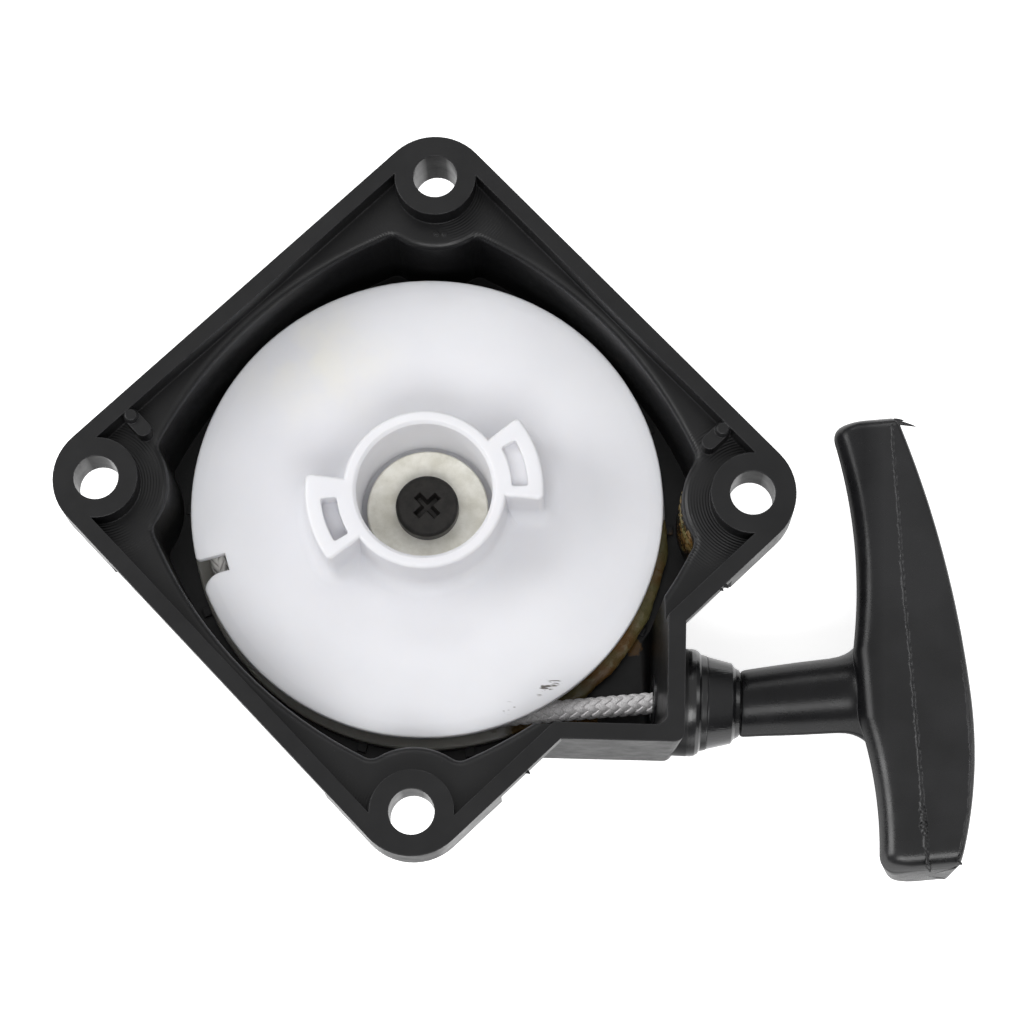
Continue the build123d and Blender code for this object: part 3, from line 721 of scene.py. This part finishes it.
# the handle, in mm out along its stem and along its grip, from where the stem meets the guide
handle = {
    "origin": (47.4, -28.35, -15.4),
    "lean": 6.5,                # degrees
    "ends": (-27.75, 40.0),     # along the grip
    "halfThickness": 8.5,
    # how far out each arc of the finger side is at its fullest, where that is along the grip, and its radius
    "fingerArcs": ((20.2, 23.5, 80), (19.0, -17, 60)),
    # how far out the palm side is, where along the grip its two arcs meet, and their radii
    "palmArcs": (33.0, -3.5, 167, 67),
    "fingerEdge": 3.2,
    "fingerOut": 1.2,           # how far the finger side stands out where its upper edge begins to turn
    "draft": 0.17,              # how much the finger side falls back below there, per mm
    "palmEdge": 0.8,
    "endRounding": (2.9, 0.7, 2.6, 1.8),    # finger side, palm side and the flat faces at the low and the high end
    "endFall": (6.35, 20, 14, 0.2),         # middle, flat reach, length and depth of the faces' fall towards the ends
    "coverSpan": (-20.0, 26.0),
    "coverHalf": 5.0,
    "coverDepth": 1.38,
    # the stem's outline as distance along it and radius
    "stem": ((-0.75, 1.9), (-0.75, 3.75), (-0.7, 3.85), (0.02, 3.9), (0.02, 4.65), (0.12, 4.8), (0.5, 4.93),
             (1.2, 4.98), (3, 5.07), (6, 5.25), (9, 5.4), (12, 5.5), (13.8, 5.56), (15.2, 5.72), (16.2, 6.0),
             (17.0, 6.4), (17.7, 6.9), (18.3, 7.5), (19.5, 7.6), (22.0, 7.2), (24.6, 4.0), (24.6, 1.9)),
    # the parting ridge as distance out, distance along the grip and half width
    "ridge": ((26.4, 38.8, 0.12), (26.1, 36.4, 0.14), (25.5, 22.4, 0.15), (25.0, 13.4, 0.2), (24.8, 4.5, 0.14),
              (24.5, -4.5, 0.2), (24.1, -16.0, 0.2), (23.9, -19.0, 0.34), (23.8, -21.5, 0.44), (23.75, -24.0, 0.3),
              (23.65, -27.1, 0.18)),
    # a fine raised edge where the flat face meets the palm side, in the same way
    "palmBead": ((32.15, 2.0, 0.03), (32.2, -3.5, 0.08), (31.75, -12.0, 0.09), (30.4, -20.0, 0.09),
                 (28.25, -26.6, 0.09)),
    # torn flash as foot and tip, each out, along and up, and its size
    "spurs": (((23.7, -27.3, 7.9), (23.9, -28.35, 7.9), 0.5), ((28.0, -27.2, 7.6), (28.7, -27.6, 7.7), 0.4),
              ((27.2, 39.0, 7.6), (30.0, 38.2, 7.3), 0.36), ((26.8, 39.4, 7.5), (28.3, 39.3, 7.3), 0.34)),
}


def handlePlace(u, w, z):
    # u runs out along the stem, w along the grip and z stays up
    lean = radians(handle["lean"])
    x0, y0, z0 = handle["origin"]
    return np.stack([x0 + u * cos(lean) - w * sin(lean), y0 + u * sin(lean) + w * cos(lean), z0 + z], axis=-1)


def arcOffset(distance, radius):
    # how far an arc has fallen back at a distance from its fullest point
    return radius - np.sqrt(radius * radius - distance * distance)


def fingerSide(w, settings):
    # one long arc above the stem and a shorter one below, joined by a smooth step
    (aboveOut, aboveAt, aboveRadius), (belowOut, belowAt, belowRadius) = settings["fingerArcs"]
    above = aboveOut - arcOffset(np.maximum(w, 5) - aboveAt, aboveRadius)
    below = belowOut - arcOffset(np.minimum(w, -5) - belowAt, belowRadius)
    share = np.clip((w + 5) / 10, 0, 1)
    return below + (above - below) * share ** 2 * (3 - 2 * share)


def palmSide(w, settings):
    # two arcs that meet where the grip is fullest
    out, meet, aboveRadius, belowRadius = settings["palmArcs"]
    return out - np.where(w > meet, arcOffset(w - meet, aboveRadius), arcOffset(w - meet, belowRadius))


def roundedIn(distance, radius):
    # how far a quarter circle of that radius stands back, at a distance from the end
    left = np.clip(radius - distance, 0, radius)
    return radius - np.sqrt(radius ** 2 - left ** 2)


def faceHeight(w, settings):
    # half the thickness, less a straight fall towards both ends
    middle, reach, length, depth = settings["endFall"]
    return settings["halfThickness"] - depth * np.clip((np.abs(w - middle) - reach) / length, 0, 1)


def gripSurface(settings):
    # Rounded rectangles set along the grip. Near each end they shrink by quarter circles, the palm side is
    # sunk for the cover, and below its widest height the finger side falls back in a straight line.
    low, high = settings["ends"]
    endSteps = np.array([0, 0.04, 0.14, 0.3, 0.5, 0.75, 1.05, 1.4, 1.8, 2.3, 2.8])
    coverLow, coverHigh = settings["coverSpan"]
    w = np.concatenate([low + endSteps, np.linspace(low + 3.2, high - 3.2, 130), high - endSteps[::-1],
                        [coverLow, coverLow + 0.02, coverHigh - 0.02, coverHigh]])
    w = np.sort(w)[:, None]
    fromEnd = np.minimum(w - low, high - w)
    fingerRound, palmRound, lowFaceRound, highFaceRound = settings["endRounding"]
    outer = fingerSide(w, settings) + roundedIn(fromEnd, fingerRound) - settings["fingerOut"]
    right = palmSide(w, settings) - roundedIn(fromEnd, palmRound)
    ripple = 0.025 * np.sin(0.9 * w + 1.3) * np.sin(0.37 * w)
    faceRounded = np.maximum(roundedIn(w - low, lowFaceRound), roundedIn(high - w, highFaceRound))
    top = faceHeight(w, settings) - faceRounded + ripple
    # the section's upper half, from the middle of the finger side over the face to the middle of the palm side
    f, p, coverZ = settings["fingerEdge"], settings["palmEdge"], settings["coverHalf"]
    sideShare = np.linspace(0, 1, 7)[None, :]
    quarterFinger = np.radians(np.linspace(0, 90, 17))[None, 1:]
    faceShare = np.linspace(0, 1, 16)[None, 1:]
    quarterPalm = np.radians(np.linspace(0, 90, 11))[None, 1:]
    palmHeights = np.array([[coverZ + 1.2, coverZ + 0.02, coverZ, 3, 1.5, 0]])
    edgeMiddle = outer + f
    u = [outer * np.ones_like(sideShare), edgeMiddle - f * np.cos(quarterFinger),
         edgeMiddle + (right - p - edgeMiddle) * faceShare, right - p * (1 - np.sin(quarterPalm)),
         right * np.ones_like(palmHeights)]
    z = [(top - f) * sideShare, top - f * (1 - np.sin(quarterFinger)), top * np.ones_like(faceShare),
         top - p * (1 - np.cos(quarterPalm)), palmHeights]
    u, z = (np.concatenate([np.broadcast_to(part, (len(w), part.shape[1])) for part in parts], axis=1)
            for parts in (u, z))
    # the lower half mirrors it
    inner = slice(u.shape[1] - 2, 0, -1)
    u = np.concatenate([u, u[:, inner]], axis=1)
    z = np.concatenate([z, -z[:, inner]], axis=1)
    onPalm = (np.abs(u - right) < 1e-6) & (np.abs(z) < coverZ + 0.01)
    inCover = (w > coverLow + 0.01) & (w < coverHigh - 0.01)
    u = u - settings["coverDepth"] * (onPalm & inCover)
    fallen = np.clip(settings["halfThickness"] - f - z, 0, None) * settings["draft"]
    u = u + fallen * np.clip((right - u) / (right - outer), 0, 1)
    return handlePlace(u, np.broadcast_to(w, u.shape), z)


def stemSurface(settings):
    # the stem's outline turned about its axis
    outline = np.array(settings["stem"] + settings["stem"][:1])
    out, radius = outline[:, :1], outline[:, 1:]
    turnAngle = np.arange(72) * 2 * pi / 72
    w = radius * np.cos(turnAngle)
    squared = np.clip((3.0 - out) / 2.5, 0, 1)      # the end is cut parallel to the guide's mouth
    return handlePlace(out + squared * w * np.tan(radians(settings["lean"])), w, radius * np.sin(turnAngle))


def ridgeSurface(settings, key):
    # a low bead along the flat face; it wavers, and its half width wanders as a product of sines
    knots = np.array(settings[key])[::-1]
    w = np.linspace(knots[0, 1], knots[-1, 1], 420)
    u = np.interp(w, knots[:, 1], knots[:, 0]) + 0.05 * np.sin(2.1 * w) + 0.03 * np.sin(5.3 * w + 1)
    half = np.interp(w, knots[:, 1], knots[:, 2]) * (1 + 0.3 * np.sin(1.7 * w) * np.sin(4.1 * w + 2))
    u, w, half, top = (values[:, None] for values in (u, w, half, faceHeight(w, settings) - 0.02))
    ring = np.arange(10) * 2 * pi / 10
    return handlePlace(u + 1.2 * half * np.cos(ring), np.broadcast_to(w, (420, 10)), top + 0.8 * half * np.sin(ring))


def spur(name, foot, tip, size):
    # a bent cone of torn flash from a foot to a tip
    share = np.linspace(0, 1, 9)[:, None]
    foot, tip = np.array(foot), np.array(tip)
    path = foot + share * (tip - foot) + np.sin(pi * share) * np.array([0.12, 0.1, 0.1]) * size
    width = size * (1 - share[:, 0]) ** 0.7 + 0.02
    return tubeAlong(name, path, width, 8)


gripBody = joinPieces("gripBody", [
    meshFromGrid("gripShell", gripSurface(handle) * mm, smoothAngle=35),
    meshFromGrid("gripStem", stemSurface(handle) * mm, capped=False, merge=1e-6, smoothAngle=35),
    meshFromGrid("gripRidge", ridgeSurface(handle, "ridge") * mm),
    meshFromGrid("palmRidge", ridgeSurface(handle, "palmBead") * mm),
    *(spur("gripFlash%d" % index, handlePlace(*foot), handlePlace(*tip), size)
      for index, (foot, tip, size) in enumerate(handle["spurs"])),
])
gripBody.data.materials.append(gripFinish)
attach(gripBody, "handle")
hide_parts("handle_grip")
print("handle made")

# old grease along the reel's lower flange, in mm and degrees
grease = {
    "angles": (-66.0, 2.0),
    "radii": (33.8, 37.0),
    "level": -19.1,
    "height": 0.85,
    "crumb": (0.2, 0.17, 0.09),
}


def greaseRoll(settings):
    # a flattened bead along the flange's edge; its width and height wander as sums of sines
    first, last = settings["angles"]
    angle = np.linspace(first, last, 260)
    inner, outer = settings["radii"]
    ends = np.clip(np.minimum(angle - first, last - angle) / 8, 0.05, 1) ** 0.6
    lumps = (0.6 * np.sin(0.31 * angle) * np.sin(0.13 * angle + 1)
             + 0.25 * np.sin(0.8 * angle + 2) + 0.08 * np.sin(2.3 * angle))
    half = (outer - inner) / 2 * ends * (0.82 + 0.18 * lumps)
    tall = settings["height"] * ends * (0.75 + 0.3 * lumps)
    ring = np.arange(16) * 2 * pi / 16
    radius = (inner + outer) / 2 + half[:, None] * np.cos(ring)
    dents = 0.05 * np.sin(0.9 * angle)[:, None] * np.sin(3 * ring)
    z = settings["level"] + 0.35 + tall[:, None] * np.sin(ring) + dents
    turned = np.radians(angle)[:, None]
    return np.stack([radius * np.cos(turned), radius * np.sin(turned), z], axis=-1)


def makeGrease(name, settings):
    material, tree, shader = startMaterial(name)
    place = objectPlace(tree)
    stained = ranged(tree, noise(tree, place, 120, 3), 0.42, 0.58)
    crumbs = ranged(tree, noise(tree, place, 900, 4), 0.55, 0.75)
    tone = mixed(tree, crumbs, mixed(tree, stained, nylon["grease"], nylon["greaseBrown"]), settings["crumb"])
    tree.links.new(tone, shader.inputs["Base Color"])
    tree.links.new(ranged(tree, noise(tree, place, 500, 3), 0.3, 0.7, 0.25, 0.5), shader.inputs["Roughness"])
    tree.links.new(bumped(tree, [(noise(tree, place, 900, 4, 0.6), 0.6, 0.0003)]), shader.inputs["Normal"])
    return material


# flecks of the same grease on the wall beside the reel, around the boss of the hole at +X
flecks = {
    "hole": 48.08,
    "bossRadius": 10.1,
    "taper": 0.0175,
    # angle about the hole in degrees, height in mm and spread of each patch
    "patches": ((-8, -9, 1.2), (-16, -12, 1.5), (-24, -8, 1.3), (-30, -13, 1.4), (4, -10, 0.9), (-20, -16, 1.2)),
    "each": 12,
    "seed": 7,
}


def fleckGrid(settings):
    # each fleck is a sphere squashed against the wall, its outline wavy
    source = np.random.default_rng(settings["seed"])
    patches = np.repeat(np.array(settings["patches"], float), settings["each"], axis=0)
    count = len(patches)
    angle = np.radians(patches[:, 0] + source.normal(0, 6, count) * patches[:, 2])
    height = np.clip(patches[:, 1] + source.normal(0, 1.2, count) * patches[:, 2], -18, -6)
    size = (0.15 + 0.4 * source.random(count) ** 2 * patches[:, 2])[:, None, None]
    rise = np.linspace(0.1, pi - 0.1, 7)[None, :, None]
    sweep = (np.arange(10) * 2 * pi / 10)[None, None, :]
    wavy = 1 + 0.25 * np.sin(3 * sweep + source.random(count)[:, None, None] * 6)
    across = size * np.sin(rise) * np.cos(sweep) * wavy
    z = height[:, None, None] + size * np.sin(rise) * np.sin(sweep) * wavy * 1.3
    radius = settings["bossRadius"] + settings["taper"] * (-z - 3.8) + 0.03 + 0.1 * np.cos(rise)
    turned = angle[:, None, None] + across / radius
    return np.stack([settings["hole"] - radius * np.cos(turned), radius * np.sin(turned), z], axis=-1)


greaseFinish = makeGrease("oldGrease", grease)
greaseBead = meshFromGrid("greaseBead", greaseRoll(grease) * mm)
greaseBead.data.materials.append(greaseFinish)
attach(greaseBead, "reel")
greaseFlecks = meshFromGrid("greaseFlecks", fleckGrid(flecks) * mm)
greaseFlecks.data.materials.append(greaseFinish)
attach(greaseFlecks, "housing")

# torn flash left on the outside of the rim, as foot, tip and size in mm
rimSpurs = (
    ((44.2, -13.7, -1.2), (44.75, -14.1, -1.4), 0.36), ((43.6, -14.3, -1.0), (44.0, -14.6, -1.1), 0.24),
    ((16.2, -41.7, -1.3), (16.7, -42.05, -1.5), 0.3), ((22.0, 35.9, -1.0), (22.3, 36.2, -1.1), 0.2),
)
rimFlash = joinPieces("rimFlash", [spur("rimFlash%d" % index, *each) for index, each in enumerate(rimSpurs)])
rimFlash.data.materials.append(housingFinish)
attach(rimFlash, "housing")
print("grease and flash laid")

# a plain pale floor, in metres
floorSettings = {
    "half": 3.0,
    "level": -0.0285,
    "paper": (0.94, 0.94, 0.94),
    "fleck": (0.92, 0.92, 0.92),
    "glow": 0.75,
}
acrossFloor = np.linspace(-floorSettings["half"], floorSettings["half"], 3)
floorX, floorY = np.meshgrid(acrossFloor, acrossFloor, indexing="ij")
floorPoints = np.stack([floorX, floorY, np.full_like(floorX, floorSettings["level"])], axis=2)
floor = meshFromGrid("paleFloor", floorPoints, closedAcross=False, capped=False)
floorFinish, floorTree, floorShader = startMaterial("palePaper")
floorCloud = noise(floorTree, objectPlace(floorTree), 30, 2)
floorTone = mixed(floorTree, floorCloud, floorSettings["paper"], floorSettings["fleck"])
floorTree.links.new(floorTone, floorShader.inputs["Base Color"])
floorShader.inputs["Roughness"].default_value = 0.9
floorShader.inputs["Emission Color"].default_value = (1, 1, 1, 1)
floorShader.inputs["Emission Strength"].default_value = floorSettings["glow"]
floor.data.materials.append(floorFinish)
